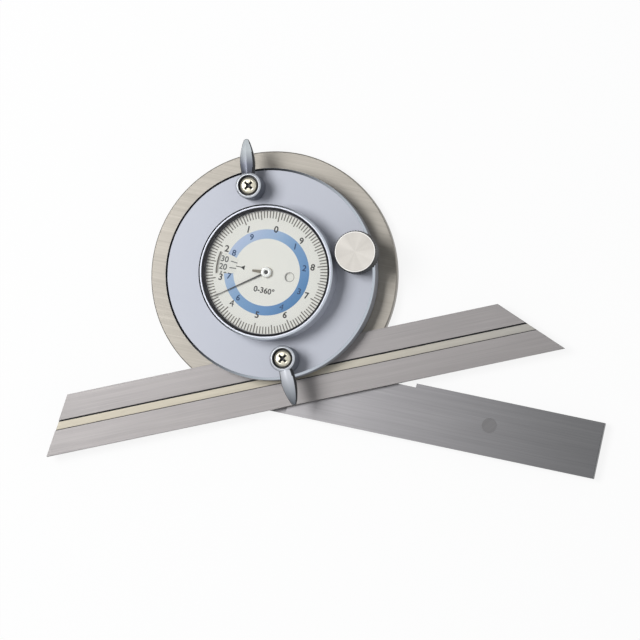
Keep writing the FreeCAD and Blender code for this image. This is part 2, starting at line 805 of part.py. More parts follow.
def housing_pieces():
    return {
        "housing_body": housing_body(),
        "housing_cover": housing_cover(),
        "cover_screws": screws(cover_screw_radius, housing_bottom, cover_top - screw_cover, cover_screw_places()),
        "sun_gear": sun_gear(),
        "sun_gear_screws": screws(sun_screw_radius, can_floor_top, sun_bottom() + gap, sun_screw_places()),
        "degree_disc": degree_disc(),
        "crystal": crystal(),
        "bezel": bezel(),
        "knob_bush": knob_bush(),
        "knob": knob(),
        "knob_shaft": knob_shaft(),
        "angle_lever": lever(1, angle_lever_turn),
        "angle_lever_stem": lever_stem(1, shoe_top() + play),
        "angle_lever_screw": lever_screw(1, lever_screw_turn),
        "blade_lever": lever(-1, blade_lever_turn),
        "blade_lever_stem": lever_stem(-1, channel_top + play),
        "blade_lever_screw": lever_screw(-1, lever_screw_turn),
        "lever_washers": lever_washers(),
        "brake_shoe": brake_shoe(),
        "blade_claw": blade_claw(),
        "blade_guide_keys": blade_guide_keys(),
        "blade": blade()}


os.makedirs("parts", exist_ok=True)
pieces = base_pieces()
for name, shape in housing_pieces().items():
    pieces[name] = with_housing(shape)
for name, shape in pieces.items():
    shape.exportStep("parts/" + name + ".step")
    print(name, len(shape.Solids), round(shape.Volume, 2), shape.isValid())
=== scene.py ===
# %% [markdown]
# # A dial bevel protractor, dressed for its picture
# The real tool is a flat steel disc with a fixed arm, a turning aluminium housing that carries
# a sliding blade, and a clock dial in the middle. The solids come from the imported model.
# Blender adds what they lack: ground steel, satin anodising, the printed dial, rounded edges
# that catch the light, and a plain studio.

# %% Load the frame
import bpy
import json
import math
from mathutils import Matrix, Vector


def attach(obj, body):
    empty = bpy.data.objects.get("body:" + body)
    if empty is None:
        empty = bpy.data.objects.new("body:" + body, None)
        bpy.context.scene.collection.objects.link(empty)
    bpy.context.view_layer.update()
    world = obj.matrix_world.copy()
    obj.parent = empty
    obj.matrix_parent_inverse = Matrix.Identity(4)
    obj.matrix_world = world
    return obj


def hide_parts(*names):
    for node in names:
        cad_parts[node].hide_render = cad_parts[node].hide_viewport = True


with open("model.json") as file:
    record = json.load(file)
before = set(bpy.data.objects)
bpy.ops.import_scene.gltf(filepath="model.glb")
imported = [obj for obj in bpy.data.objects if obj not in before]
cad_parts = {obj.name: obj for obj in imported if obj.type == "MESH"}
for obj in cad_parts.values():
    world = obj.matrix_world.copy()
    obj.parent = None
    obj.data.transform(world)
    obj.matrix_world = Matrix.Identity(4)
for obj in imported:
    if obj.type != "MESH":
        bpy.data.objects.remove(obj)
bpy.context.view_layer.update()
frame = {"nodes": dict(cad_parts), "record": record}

MM = 0.001
nodes = frame["nodes"]
joints = {joint["name"]: joint for joint in frame["record"]["behaviour"]["joints"]}
blade_way = joints["blade_slide"]["axis"]
rest_turn = math.atan2(blade_way[1], blade_way[0])
print("nodes:", len(nodes), "blade at", round(math.degrees(rest_turn), 2), "degrees")

# %% [markdown]
# ## The camera
# The photograph was taken from almost straight above with a long lens, three metres away.
# The three turns below are the ones that put the arm, the blade and the tall knob where the
# photograph shows them. A camera looks along its own -Z, so its turn is the inverse of the
# turn that carries the object into its view.

# %% Camera
camera_height = 3.0
pixels_per_metre = 2665.0
picture_width = 640
sensor_width = 36.0
view_shift = Vector((-0.01667, 0.01645, 0.0))


def view_part(axis, degrees):
    return Matrix.Rotation(math.radians(degrees), 3, axis)


object_turn = view_part("X", -3.55) @ view_part("Y", -8.85) @ view_part("Z", -12.24)
view_turn = object_turn.transposed()
bpy.ops.object.camera_add(location=view_turn @ (Vector((0, 0, camera_height)) - view_shift),
                          rotation=view_turn.to_euler())
camera = bpy.context.object
camera.data.sensor_width = sensor_width
camera.data.lens = sensor_width * pixels_per_metre * camera_height / picture_width
camera.data.clip_end = 20.0
bpy.context.scene.camera = camera
print("lens", round(camera.data.lens, 1), "mm")

# %% [markdown]
# ## Studio light
# A big soft lamp hangs at the upper left, so the dial's rim, the knob and the levers throw
# broad soft shadows to the right. Its power grows with the square of its distance, so that it
# can be moved without a change of brightness.

# %% Lamp
def from_camera(x, y, z):
    """A direction given as the photograph shows it: right, up and towards the viewer."""
    return view_turn @ Vector((x, y, z)).normalized()


lamp_distance = 1.2
lamp_brightness = 0.58
lamp_way = from_camera(-0.57, 0.19, 0.82)
bpy.ops.object.light_add(type="AREA", location=lamp_way * lamp_distance)
lamp = bpy.context.object
lamp.rotation_euler = lamp_way.to_track_quat("Z", "Y").to_euler()
lamp.data.size = 0.52
lamp.data.energy = lamp_brightness * math.pi ** 2 * lamp_distance ** 2
print("lamp", round(lamp.data.energy, 2), "W")

# %% [markdown]
# ## Writing shader sums as Python
# A node tree is easier to read as a sum than as boxes and wires. `Wire` wraps one output and
# turns + - * into Math nodes. `Finish` is one node tree, and its `node` method adds any other
# node: first its settings, then its sockets.

# %% Wires
class Wire:
    """One output of a node that can be used in sums."""

    def __init__(self, finish, socket):
        self.finish = finish
        self.socket = socket

    def sum(self, operation, first, second=0.0, clamp=False):
        settings = {"operation": operation, "use_clamp": clamp}
        return self.finish.node("ShaderNodeMath", settings, {0: first, 1: second})

    def __add__(self, other):
        return self.sum("ADD", self, other)

    def __radd__(self, other):
        return self.sum("ADD", other, self)

    def __sub__(self, other):
        return self.sum("SUBTRACT", self, other)

    def __rsub__(self, other):
        return self.sum("SUBTRACT", other, self)

    def __mul__(self, other):
        return self.sum("MULTIPLY", self, other)

    def __rmul__(self, other):
        return self.sum("MULTIPLY", other, self)

    def clamped(self):
        return self.sum("ADD", self, clamp=True)


print("wires can be added, subtracted and multiplied")

# %% Finishes
class Finish:
    """A node tree of a material, or of the room, that is built up line by line."""

    def __init__(self, name, owner=None, place="Object"):
        self.material = owner or bpy.data.materials.new(name)
        self.material.use_nodes = True
        self.tree = self.material.node_tree
        self.tree.nodes.clear()
        self.place = self.node("ShaderNodeTexCoord", out=place)

    def node(self, kind, settings={}, sockets={}, out=0):
        made = self.tree.nodes.new(kind)
        for key, value in settings.items():
            if key == "stops":
                ramp = made.color_ramp.elements
                while len(ramp) < len(value):
                    ramp.new(0.5)
                for element, (position, colour) in zip(ramp, value):
                    element.position = position
                    element.color = colour
            else:
                setattr(made, key, value)
        for key, value in sockets.items():
            if isinstance(value, Wire):
                self.tree.links.new(value.socket, made.inputs[key])
            else:
                made.inputs[key].default_value = value
        return Wire(self, made.outputs[out])

    def mix(self, factor, first, second):
        sockets = {0: factor, 6: first, 7: second}
        return self.node("ShaderNodeMix", {"data_type": "RGBA"}, sockets, out=2)

    def noise(self, scale, detail=3.0, turn=0.0, shift=(0, 0, 0)):
        """Cloudy grey whose grain is one unit long in each scaled direction."""
        grain = tuple(1.0 / size for size in scale)
        placed = self.node("ShaderNodeMapping", {"vector_type": "TEXTURE"},
                           {"Vector": self.place, "Location": shift, "Rotation": (0, 0, turn),
                            "Scale": grain})
        return self.node("ShaderNodeTexNoise", {}, {"Vector": placed, "Scale": 1.0,
                                                    "Detail": detail, "Roughness": 0.55})

    def dot(self, direction):
        """How far a point lies along a direction, in metres."""
        return self.node("ShaderNodeVectorMath", {"operation": "DOT_PRODUCT"},
                         {0: self.place, 1: tuple(direction)}, out="Value")

    def fade(self, value, low, high, start=0.0, end=1.0, soft=False):
        """Goes from start to end while the value goes from low to high."""
        return self.node("ShaderNodeMapRange",
                         {"interpolation_type": "SMOOTHSTEP" if soft else "LINEAR"},
                         {"Value": value, "From Min": low, "From Max": high,
                          "To Min": start, "To Max": end})

    def bump(self, height, depth, strength):
        return self.node("ShaderNodeBump", {}, {"Height": height, "Distance": depth,
                                                "Strength": strength})

    def surface(self, **sockets):
        names = {key.replace("_", " ").title(): value for key, value in sockets.items()}
        self.output(self.node("ShaderNodeBsdfPrincipled", {}, names))
        return self.material

    def output(self, shader, kind="ShaderNodeOutputMaterial"):
        end = self.tree.nodes.new(kind)
        self.tree.links.new(shader.socket, end.inputs["Surface"])


print("finishes can be written")

# %% [markdown]
# ## The pale room
# Polished metal shows what stands round it. The room is pale at the lower right and dark low
# down at the upper left, which draws the thin dark lines that polished edges show there. Only
# mirror rays see this change: for soft light the whole room has one even strength.

# %% Room
room = Finish("studio_room", bpy.data.worlds.new("studio_room"), "Generated")
bpy.context.scene.world = room.material
room_shade = room.fade(room.dot(from_camera(0.88, -0.42, 0.12)), -0.62, 0.35, 0.015, 0.8, soft=True)
soft_light = room.node("ShaderNodeLightPath", out="Is Diffuse Ray")
strength = room.node("ShaderNodeMix", {}, {0: soft_light, 2: room_shade, 3: 0.33})
room.output(room.node("ShaderNodeBackground", {}, {"Color": (0.97, 0.985, 1.0, 1.0),
                                                   "Strength": strength}), "ShaderNodeOutputWorld")
print("room ready")

# %% [markdown]
# ## The white table
# The photograph's ground is plain white. The floor is a white diffuse sheet that a camera or
# a mirror ray sees partly as pure white, so a faint shadow is still left under the tool.

# %% Floor
bpy.ops.object.select_all(action="DESELECT")
bpy.ops.mesh.primitive_plane_add(size=6.0, location=(0, 0, -0.0004))
floor = bpy.context.object
floor.name = "floor"
bpy.ops.object.transform_apply()
white = Finish("white_table")
seen = white.node("ShaderNodeLightPath", out="Is Camera Ray")
mirrored = white.node("ShaderNodeLightPath", out="Is Glossy Ray")
through = white.node("ShaderNodeLightPath", out="Is Transmission Ray")
sheet = white.node("ShaderNodeBsdfDiffuse", {}, {"Color": (0.9, 0.9, 0.9, 1.0)})
glow = white.node("ShaderNodeEmission", {}, {"Color": (1, 1, 1, 1), "Strength": 1.03})
whiteness = (seen + mirrored + through).clamped() * 0.85
white.output(white.node("ShaderNodeMixShader", {}, {0: whiteness, 1: sheet, 2: glow}))
floor.data.materials.append(white.material)
print("floor ready")

# %% [markdown]
# ## Ground steel
# Each finish is named for what the part is made of. Ground steel has long fine scratches in
# one direction: noise that is stretched a few hundredfold, once fine and once broad, with
# faint clouds over both.

# %% Ground steel
scratch_long, scratch_wide = 9.0, 2600.0
scratch_depth = 0.000015


def rgb(red, green, blue):
    """A colour as the picture's 0-255 values, made linear for the shader."""
    parts = [(value / 255.0 / 12.92) if value < 11 else ((value / 255.0 + 0.055) / 1.055) ** 2.4
             for value in (red, green, blue)]
    return (*parts, 1.0)


def ground_steel(name, dark, light, turn=0.0, contrast=1.0, rough=0.42, metal=0.9, far_shade=None):
    """Steel that was ground in one direction, with scratches along X after the turn.
    The far pair of colours is darker, and the steel fades to it towards the right of the view:
    painted shade."""
    steel = Finish(name)
    fine = steel.noise((scratch_long * 4, scratch_wide * 1.7, scratch_wide), 2.0, turn)
    broad = steel.noise((scratch_long, scratch_wide * 0.4, scratch_wide * 0.4), 2.0, turn,
                        shift=(0.3, 0.7, 0.1))
    cloud = steel.noise((30.0, 60.0, 60.0), 2.0, turn)
    tone = (fine * 0.65 + broad * 0.35 - 0.5) * contrast + (cloud - 0.5) * 0.25 + 0.5
    colour = steel.mix(tone.clamped(), rgb(*dark), rgb(*light))
    # Painted shade: the colour darkens towards the right of the view.
    if far_shade:
        share = steel.fade(steel.dot(from_camera(1, 0, 0)), -0.02, 0.13, soft=True)
        colour = steel.mix(share, colour, steel.mix(tone.clamped(), rgb(*far_shade[0]), rgb(*far_shade[1])))
    roughness = (tone * -0.12 + rough + 0.06).clamped()
    return steel.surface(base_color=colour, roughness=roughness, metallic=metal,
                         normal=steel.bump(fine, scratch_depth, 0.6))


base_steel = ground_steel("base_disc_steel", (128, 124, 117), (160, 155, 147))
# The arm's darkening towards its right end is painted shade.
arm_steel = ground_steel("arm_steel", (134, 132, 134), (160, 158, 160),
                         far_shade=((90, 90, 92), (116, 116, 117)))
blade_steel = ground_steel("blade_steel", (124, 121, 121), (154, 150, 149), rest_turn, metal=0.7)
# The plug's dark tone is partly painted shade: it matches the arm's painted darkening at that
# place.
plug_steel = ground_steel("plug_steel", (98, 97, 98), (118, 117, 118), turn=0.9, contrast=0.8)
# The groove floor's cream tone is partly a painted reflection of warm light, and its grey far end
# is painted shade.
groove_sheen_steel = ground_steel("groove_floor_sheen_steel", (172, 165, 150), (196, 189, 173), rest_turn,
                            contrast=0.7, rough=0.5, metal=0.6,
                            far_shade=((150, 148, 144), (172, 170, 166)))
print("steels ready")

# %% [markdown]
# ## Even finishes
# Anodised aluminium was blasted first, so it has a very fine even grain. Plating and paint
# have hardly any, so they get less contrast and no bump. The near-black and grey ones for
# walls, recesses and the can's inside are painted shade and painted dark reflection, in place
# of walls and recesses that only mirror the dark room on the real tool. The knob's bright rim
# is a painted highlight.

# %% Anodised, plated and painted metal
def satin(name, dark, light, rough=0.42, metal=0.35, contrast=0.5, bite=0.00001):
    """Fine even grain of blasted, anodised, plated or painted metal."""
    coat = Finish(name)
    fine = coat.noise((4200.0, 4200.0, 4200.0), 2.0)
    cloud = coat.noise((26.0, 26.0, 26.0), 2.0)
    tone = (fine - 0.5) * contrast + (cloud - 0.5) * 0.4 + 0.5
    mixed = coat.mix(tone.clamped(), rgb(*dark), rgb(*light))
    settings = {"base_color": mixed, "roughness": fine * 0.1 + rough - 0.05, "metallic": metal}
    if bite:
        settings["normal"] = coat.bump(fine, bite, 0.5)
    return coat.surface(**settings)


flat = {"bite": 0.0}
even = {"contrast": 0.2, "bite": 0.0}
housing_blue = satin("housing_anodised", (166, 169, 179), (179, 182, 191))
bezel_alloy = satin("bezel_alloy", (196, 199, 210), (208, 211, 221), 0.42, 0.5, **even)
cut_edge = satin("bright_cut_edge", (196, 204, 212), (212, 218, 226), 0.14, 1.0, **flat)
# Painted shade and painted dark reflection for the bezel's inner slope.
bezel_slope_shade = satin("bezel_inside_painted_shade", (26, 26, 30), (36, 36, 40), 0.45, 0.1, **flat)
# Painted shade inside the can and on the ring at the dial's wall.
can_painted_shade = satin("can_inside_painted_shade", (132, 130, 136), (148, 146, 152), 0.45, 0.1, **flat)
# Painted shade in the lever hubs' recesses and the screws' cross recesses.
recess_painted_shade = satin("lever_recess_painted_shade", (14, 14, 15), (24, 23, 24), 0.3, 0.2, **flat)
# Painted shade on the lever hubs' side walls.
hub_wall_shade = satin("lever_hub_wall", (92, 97, 108), (110, 115, 126), 0.35, 0.6, **flat)
# Painted shade on the blade groove's walls, the knob's knurled side and the leaves' shaded sides.
side_wall_shade = satin("side_walls_painted_shade", (22, 23, 27), (36, 38, 42), 0.45, 0.2, **flat)
# Painted highlight on the knob's top edge.
knob_rim_highlight = satin("knob_rim_painted_highlight", (240, 238, 232), (248, 246, 242), 0.3, 0.3, **even)
lever_chrome = satin("lever_chrome", (196, 200, 208), (214, 218, 224), 0.33, 0.6, **even)
gear_brass = satin("gear_brass", (190, 150, 84), (215, 178, 110), 0.3, 1.0)
movement_brass = satin("movement_brass", (198, 160, 96), (222, 188, 124), 0.28, 1.0)
hub_steel = satin("hub_steel", (150, 150, 152), (176, 176, 178), 0.35, 0.9)
dark_screw = satin("dark_screw", (70, 70, 74), (96, 96, 100), 0.35, 0.8)
bright_screw = satin("bright_screw", (214, 208, 188), (232, 227, 208), 0.3, 0.6, **even)
dial_white = satin("dial_white", (242, 239, 231), (248, 246, 239), 0.5, 0.0, **even)
degree_white = satin("degree_white", (236, 234, 227), (243, 241, 235), 0.5, 0.0, **even)
pointer_black = satin("pointer_black", (40, 38, 40), (58, 56, 58), 0.35, 0.1, contrast=0.3)
hub_white = satin("pointer_hub_white", (236, 236, 232), (248, 248, 245), 0.25, 0.1, contrast=0.2)
# A brown finish for the short tapered mark beside the pointer hub.
brown_mark = satin("short_brown_mark", (120, 112, 100), (146, 138, 124), 0.5, 0.1, **flat)
print("even finishes ready")

# %% [markdown]
# ## The levers' leaves
# A curved bright leaf mirrors the room as bands of light and dark. The studio here is much
# plainer than the real one, so the bands are painted: a ramp that runs up the picture.

# %% Leaf plating
leaf_plate = Finish("lever_leaf_painted_bands")
leaf_reach = 0.052
height_share = leaf_plate.fade(leaf_plate.dot(from_camera(0, 1, 0)), -leaf_reach, leaf_reach)
# The bands are painted reflections: light and dark stripes of the room.
bands = [(0.03, (70, 76, 84)), (0.09, (176, 181, 188)), (0.15, (232, 235, 242)),
         (0.5, (150, 152, 160)), (0.845, (40, 40, 50)), (0.9, (128, 132, 146)),
         (0.95, (226, 233, 237))]
painted_bands = leaf_plate.node("ShaderNodeValToRGB", {"stops": [(at, rgb(*tone)) for at, tone in bands]},
                          {"Fac": height_share})
leaf_grain = leaf_plate.noise((900.0, 900.0, 900.0))
leaf_plate.surface(base_color=painted_bands, roughness=leaf_grain * 0.08 + 0.3, metallic=0.35)
print("leaf plating has", len(bands), "bands")

# %% [markdown]
# ## Turned steel
# A lathe leaves rings round the centre. Under one lamp they shine in faint fans; here the fans
# are a painted sheen, a noise in the colour that depends only on the direction from the centre.

# %% Knob steel
def turned_steel(name, dark, light, centre, rough, metal):
    """Rings round a centre, with faint fans of painted sheen where the light would run across them.
    """
    face = Finish(name)
    placed = face.node("ShaderNodeVectorMath", {"operation": "SUBTRACT"},
                       {0: face.place, 1: (centre[0], centre[1], 0.0)})
    level = face.node("ShaderNodeVectorMath", {"operation": "MULTIPLY"},
                      {0: placed, 1: (1.0, 1.0, 0.0)})
    away = face.node("ShaderNodeVectorMath", {"operation": "LENGTH"}, {0: level}, out="Value")
    rings = face.node("ShaderNodeTexNoise", {"noise_dimensions": "1D"},
                      {"W": away * 3200.0, "Scale": 1.0, "Detail": 2.0})
    cloud = face.noise((260.0, 260.0, 260.0))
    around = face.node("ShaderNodeVectorMath", {"operation": "NORMALIZE"}, {0: level})
    # The fans are a painted sheen in the colour.
    fans = face.node("ShaderNodeTexNoise", {}, {"Vector": around, "Scale": 1.6, "Detail": 1.0})
    tone = (rings - 0.5) * 0.35 + (fans - 0.5) * 0.9 + (cloud - 0.5) * 0.3 + 0.5
    colour = face.mix(tone.clamped(), rgb(*dark), rgb(*light))
    normal = face.bump(rings, 0.00001, 0.5)
    return face.surface(base_color=colour, roughness=tone * -0.1 + rough + 0.05, metallic=metal,
                        normal=normal)


knob_centre = joints["knob_turn"]["pos_m"]
knob_steel = turned_steel("knob_steel", (170, 166, 160), (202, 198, 192), knob_centre, 0.42, 0.6)
print("turned steel ready")

# %% [markdown]
# ## Inks
# Printed ink is slightly uneven and duller than the paint under it. The band behind the
# inner figures is printed in blues that darken towards one side, so it has a ramp.

# %% Inks of the dial
def ink(name, dark, light):
    print_ink = Finish(name)
    wear = print_ink.noise((1500.0, 1500.0, 1500.0), 2.0)
    return print_ink.surface(base_color=print_ink.mix(wear, rgb(*dark), rgb(*light)),
                             roughness=wear * 0.1 + 0.5)


# Painted shade for the edge of the dial's small hole.
peep_edge_shade = ink("peep_edge_shade", (150, 148, 144), (172, 170, 166))
tick_ink = ink("tick_ink", (92, 86, 81), (122, 115, 109))
number_ink = ink("number_ink", (34, 32, 34), (58, 56, 56))
degree_ink = ink("degree_ink", (92, 94, 92), (120, 122, 120))
blue_ink = ink("blue_number_ink", (38, 66, 104), (52, 82, 122))

band = Finish("ring_band_ink")
band_way = math.radians(-33)
band_reach = 0.016
band_share = band.fade(band.dot((math.cos(band_way), math.sin(band_way), 0.0)), -band_reach,
                       band_reach)
blues = [(0.0, (188, 203, 232)), (0.3, (160, 188, 222)), (0.5, (126, 165, 208)),
         (0.8, (104, 150, 200)), (1.0, (78, 132, 184))]
shades = band.node("ShaderNodeValToRGB", {"stops": [(at, rgb(*tone)) for at, tone in blues]},
                   {"Fac": band_share})
band_grain = band.noise((900.0, 900.0, 900.0))
band_ink = band.surface(base_color=shades, roughness=band_grain * 0.1 + 0.45)
print("inks ready")

# %% [markdown]
# ## Glass
# Clear glass hardly shows from above. A transparent shader with a little gloss at the rim
# keeps the dial sharp, and only the edge of the disc catches the light.

# %% Crystal glass
glass = Finish("crystal_glass")
clear = glass.node("ShaderNodeBsdfTransparent", {}, {"Color": (0.985, 0.99, 0.99, 1.0)})
gloss = glass.node("ShaderNodeBsdfGlossy", {}, {"Color": (1, 1, 1, 1), "Roughness": 0.03})
rim_light = glass.node("ShaderNodeFresnel", {}, {"IOR": 1.2}) * 0.45
glass.output(glass.node("ShaderNodeMixShader", {}, {0: rim_light, 1: clear, 2: gloss}))
print("glass ready")

# %% [markdown]
# ## A rounded outline
# Corner radii are worked out in Python first, so every turned edge has a true small round
# that catches the light, and no bevel has to find the edges later.

# %% Outline with rounded corners
def rounded(corners, closed=False, steps=4):
    """Outline points from corners given as (radius, height, fillet), all in millimetres."""
    points = []
    count = len(corners)
    for index, (x, y, fillet) in enumerate(corners):
        at_end = index in (0, count - 1) and not closed
        here = Vector((x, y))
        if fillet == 0 or at_end:
            points.append(here)
            continue
        before = Vector(corners[index - 1][:2]) - here
        after = Vector(corners[(index + 1) % count][:2]) - here
        half = before.angle(after) / 2
        setback = fillet / math.tan(half)
        start = here + before.normalized() * setback
        end = here + after.normalized() * setback
        inward = (before.normalized() + after.normalized()).normalized()
        middle = here + inward * (fillet / math.sin(half))
        sweep = (start - middle).angle_signed(end - middle)
        for step in range(steps + 1):
            arm = start - middle
            arm.rotate(Matrix.Rotation(-sweep * step / steps, 2))
            points.append(middle + arm)
    return [(point.x, point.y) for point in points]


print("a rounded corner has", len(rounded([(0, 0, 0), (1, 0, 0.2), (1, 1, 0)])), "points")

# %% [markdown]
# ## Shading and choosing
# Smooth shading with sharp edges kept makes a turned wall look round. Weighted normals then
# keep the flat faces flat to the light. Faces are chosen by their place or direction, as a
# hand would pick them.

# %% Shading and choosing faces
def mode(name):
    bpy.ops.object.mode_set(mode=name)


def select_all():
    bpy.ops.mesh.select_all(action="SELECT")


def draw_out(x, y, z):
    """Extrudes what is selected, by so many millimetres."""
    step = (x * MM, y * MM, z * MM)
    bpy.ops.mesh.extrude_region_move(TRANSFORM_OT_translate={"value": step})


def begin(piece=None):
    """Object mode and nothing selected, or only the piece that comes next."""
    if bpy.context.object and bpy.context.object.mode != "OBJECT":
        mode("OBJECT")
    bpy.ops.object.select_all(action="DESELECT")
    if piece:
        piece.select_set(True)
        bpy.context.view_layer.objects.active = piece


def use_modifier(piece, kind, **settings):
    """Adds a modifier, sets it and applies it."""
    bpy.context.view_layer.objects.active = piece
    made = piece.modifiers.new(kind.lower(), kind)
    for key, value in settings.items():
        setattr(made, key, value)
    bpy.ops.object.modifier_apply(modifier=made.name)


def smoothed(piece, angle=32.0):
    """Smooth shading with crisp edges, and flat faces that stay flat to the light."""
    begin(piece)
    bpy.ops.object.shade_smooth_by_angle(angle=math.radians(angle))
    use_modifier(piece, "WEIGHTED_NORMAL", keep_sharp=True)
    return piece


def select_faces(piece, chosen):
    """Leaves only the chosen faces selected, and edit mode on with faces to pick."""
    begin(piece)
    mode("EDIT")
    bpy.ops.mesh.select_mode(type="FACE")
    bpy.ops.mesh.select_all(action="DESELECT")
    mode("OBJECT")
    for face in piece.data.polygons:
        face.select = chosen(face)
    mode("EDIT")


print("faces can be chosen and smoothed")

# %% [markdown]
# ## The lathe
# Most of the tool was turned on a lathe, so this helper does what a lathe does: it starts
# from one circle and draws it out ring by ring along the outline.

# %% Turned piece
def turned(name, outline, closed, sides=160, centre=(0.0, 0.0)):
    """A circle drawn out along the outline, as on a lathe. centre is in metres."""
    begin()
    radius, height = outline[0]
    bpy.ops.mesh.primitive_circle_add(vertices=sides, radius=radius * MM,
                                      fill_type="NOTHING" if closed else "NGON",
                                      location=(centre[0], centre[1], height * MM))
    piece = bpy.context.object
    piece.name = name
    mode("EDIT")
    bpy.ops.mesh.select_mode(type="EDGE" if closed else "FACE")
    select_all()
    for wide, high in outline[1:] + (outline[:1] if closed else []):
        draw_out(0, 0, high - height)
        if wide != radius:
            factor = wide / radius
            bpy.ops.transform.resize(value=(factor, factor, 1.0),
                                     center_override=(centre[0], centre[1], high * MM))
        radius, height = wide, high
    select_all()
    bpy.ops.mesh.remove_doubles(threshold=0.000002)
    bpy.ops.mesh.normals_make_consistent(inside=False)
    mode("OBJECT")
    bpy.ops.object.transform_apply()
    return smoothed(piece)


def radius_of(face, centre=(0.0, 0.0)):
    """A face's distance from the centre, in millimetres. centre is in metres."""
    return math.hypot(face.center.x - centre[0], face.center.y - centre[1]) / MM


def height_of(face):
    return face.center.z / MM


print("lathe ready")

# %% [markdown]
# ## Pieces that start from a solid
# Where the model's own outline is right, a merged copy of the solid is the start, and a fine
# bevel breaks its edges. Every piece is then dressed: it gets its finish, the body it moves
# with and the solids that it stands for.

# %% Copy of a solid, and dressing
merge_gap = 0.000001
flat_angle, edge_angle = 0.4, 40.0


def from_solid(node, name, edge=0.0):
    """A merged copy of a CAD solid, with its edges broken by a small bevel in millimetres."""
    piece = nodes[node].copy()
    piece.data = nodes[node].data.copy()
    piece.name = name
    piece.parent = None
    piece.matrix_world = Matrix.Identity(4)
    bpy.context.scene.collection.objects.link(piece)
    begin(piece)
    piece.hide_render = False
    mode("EDIT")
    select_all()
    bpy.ops.mesh.remove_doubles(threshold=merge_gap)
    bpy.ops.mesh.dissolve_limited(angle_limit=math.radians(flat_angle))
    mode("OBJECT")
    piece.data.materials.clear()
    if edge:
        use_modifier(piece, "BEVEL", width=edge * MM, segments=2, limit_method="ANGLE",
                     angle_limit=math.radians(edge_angle), use_clamp_overlap=True)
    return smoothed(piece)


def dress(piece, body, slot, finish, *stands_for):
    """Gives a piece its finish, the body it moves with and the solids it stands for."""
    if not piece.data.materials:
        piece.data.materials.append(finish)
    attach(piece, body)
    if stands_for:
        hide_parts(*stands_for)
    print(piece.name, "has", len(piece.data.polygons), "faces")


def finishes(piece, first, *others):
    """Several finishes on one piece: each of the others comes with a test for its faces."""
    piece.data.materials.clear()
    for finish in (first, *(other[0] for other in others)):
        piece.data.materials.append(finish)
    for index, (finish, chosen) in enumerate(others, 1):
        for face in piece.data.polygons:
            if chosen(face):
                face.material_index = index


print("a piece can start from any of", len(nodes), "solids")

# %% [markdown]
# ## Base disc and arm
# Both were cut from 4 mm plate and ground flat. Their outlines are right in the CAD, so a
# merged copy is the start, and a fine bevel breaks each edge as a file does.

# %% Disc and arm
dress(from_solid("base_disc", "ground_base_disc", 0.12), "base", "base_steel", base_steel,
      "base_disc")
dress(from_solid("arm", "ground_arm", 0.08), "base", "arm_steel", arm_steel, "arm")

# %% [markdown]
# ## Blade
# The blade is 2 mm spring steel with a square groove along it, where the clamp's claw runs,
# and a shallow relief at both sides of the groove's floor. Its section is cut from a plane
# first: bisect draws the lines, and the cells that the cutter would take away are deleted.

# %% Blade section
blade_low, blade_high = -49.4, -28.0
groove_low, groove_high, undercut = -40.45, -36.95, -36.35
relief_low, relief_high, relief_floor = -40.2, -37.4, 5.0
blade_left, blade_right = -97.7, 102.3
blade_foot, blade_face, groove_floor, undercut_top = 4.2, 6.2, 5.2, 5.75


def cut_through(place, way, **settings):
    """Cuts the whole mesh along a plane through a place in millimetres."""
    select_all()
    bpy.ops.mesh.bisect(plane_co=Vector(place) * MM, plane_no=way, **settings)


begin()
bpy.ops.mesh.primitive_plane_add(
    size=1.0, rotation=(0, math.pi / 2, 0),
    location=(blade_left * MM, (blade_low + blade_high) / 2 * MM,
              (blade_foot + blade_face) / 2 * MM))
blade = bpy.context.object
blade.name = "ground_blade"
blade.scale = ((blade_face - blade_foot) * MM, (blade_high - blade_low) * MM, 1.0)
bpy.ops.object.transform_apply()
mode("EDIT")
for level in (groove_low, relief_low, relief_high, groove_high, undercut):
    cut_through((0, level, 0), (0, 1, 0))
for level in (relief_floor, groove_floor, undercut_top):
    cut_through((0, 0, level), (0, 0, 1))
mode("OBJECT")


def cut_away(face):
    y, z = face.center.y / MM, height_of(face)
    in_groove = groove_low < y < groove_high and z > groove_floor
    in_undercut = groove_high < y < undercut and groove_floor < z < undercut_top
    beside_floor = groove_low < y < relief_low or relief_high < y < undercut
    return in_groove or in_undercut or (beside_floor and relief_floor < z < groove_floor)


select_faces(blade, cut_away)
bpy.ops.mesh.delete(type="FACE")
print("blade section has", len(blade.data.polygons), "faces before the cut")

# %% [markdown]
# ## Blade length and finish
# The section is drawn out lengthwise, and two more cuts that are filled again make the
# slanted ends. The groove's floor is brighter and warmer than the blade, partly its own smoother
# finish and partly a painted reflection of warm light, and it darkens to painted shade towards
# the right of the view. Its walls are painted near black as shade, because a deep narrow wall
# mirrors only the wall across from it.

# %% Blade length, slanted ends and finishes
end_slants = {blade_left: 60.0, blade_right: 135.0}

select_all()
draw_out(blade_right - blade_left, 0, 0)
for x, slant in end_slants.items():
    way = math.radians(slant)
    outward = 1 if x < 0 else -1
    cut_through((x, blade_low, 0), (outward * math.sin(way), -outward * math.cos(way), 0),
                clear_inner=True, use_fill=True)
select_all()
bpy.ops.mesh.dissolve_limited(angle_limit=math.radians(0.5))
bpy.ops.mesh.normals_make_consistent(inside=False)
mode("OBJECT")
use_modifier(blade, "BEVEL", width=0.1 * MM, segments=2, limit_method="ANGLE",
             angle_limit=math.radians(edge_angle))


def near_groove(face):
    return groove_low - 0.2 < face.center.y / MM < undercut + 0.2


def on_groove_floor(face):
    level = abs(height_of(face) - groove_floor) < 0.02 and face.normal.z > 0.9
    return level and near_groove(face)


def in_groove_shade(face):
    below_face = relief_floor - 0.02 < height_of(face) < blade_face - 0.05
    dark = height_of(face) < groove_floor - 0.05 or abs(face.normal.z) < 0.5
    return below_face and dark and near_groove(face)


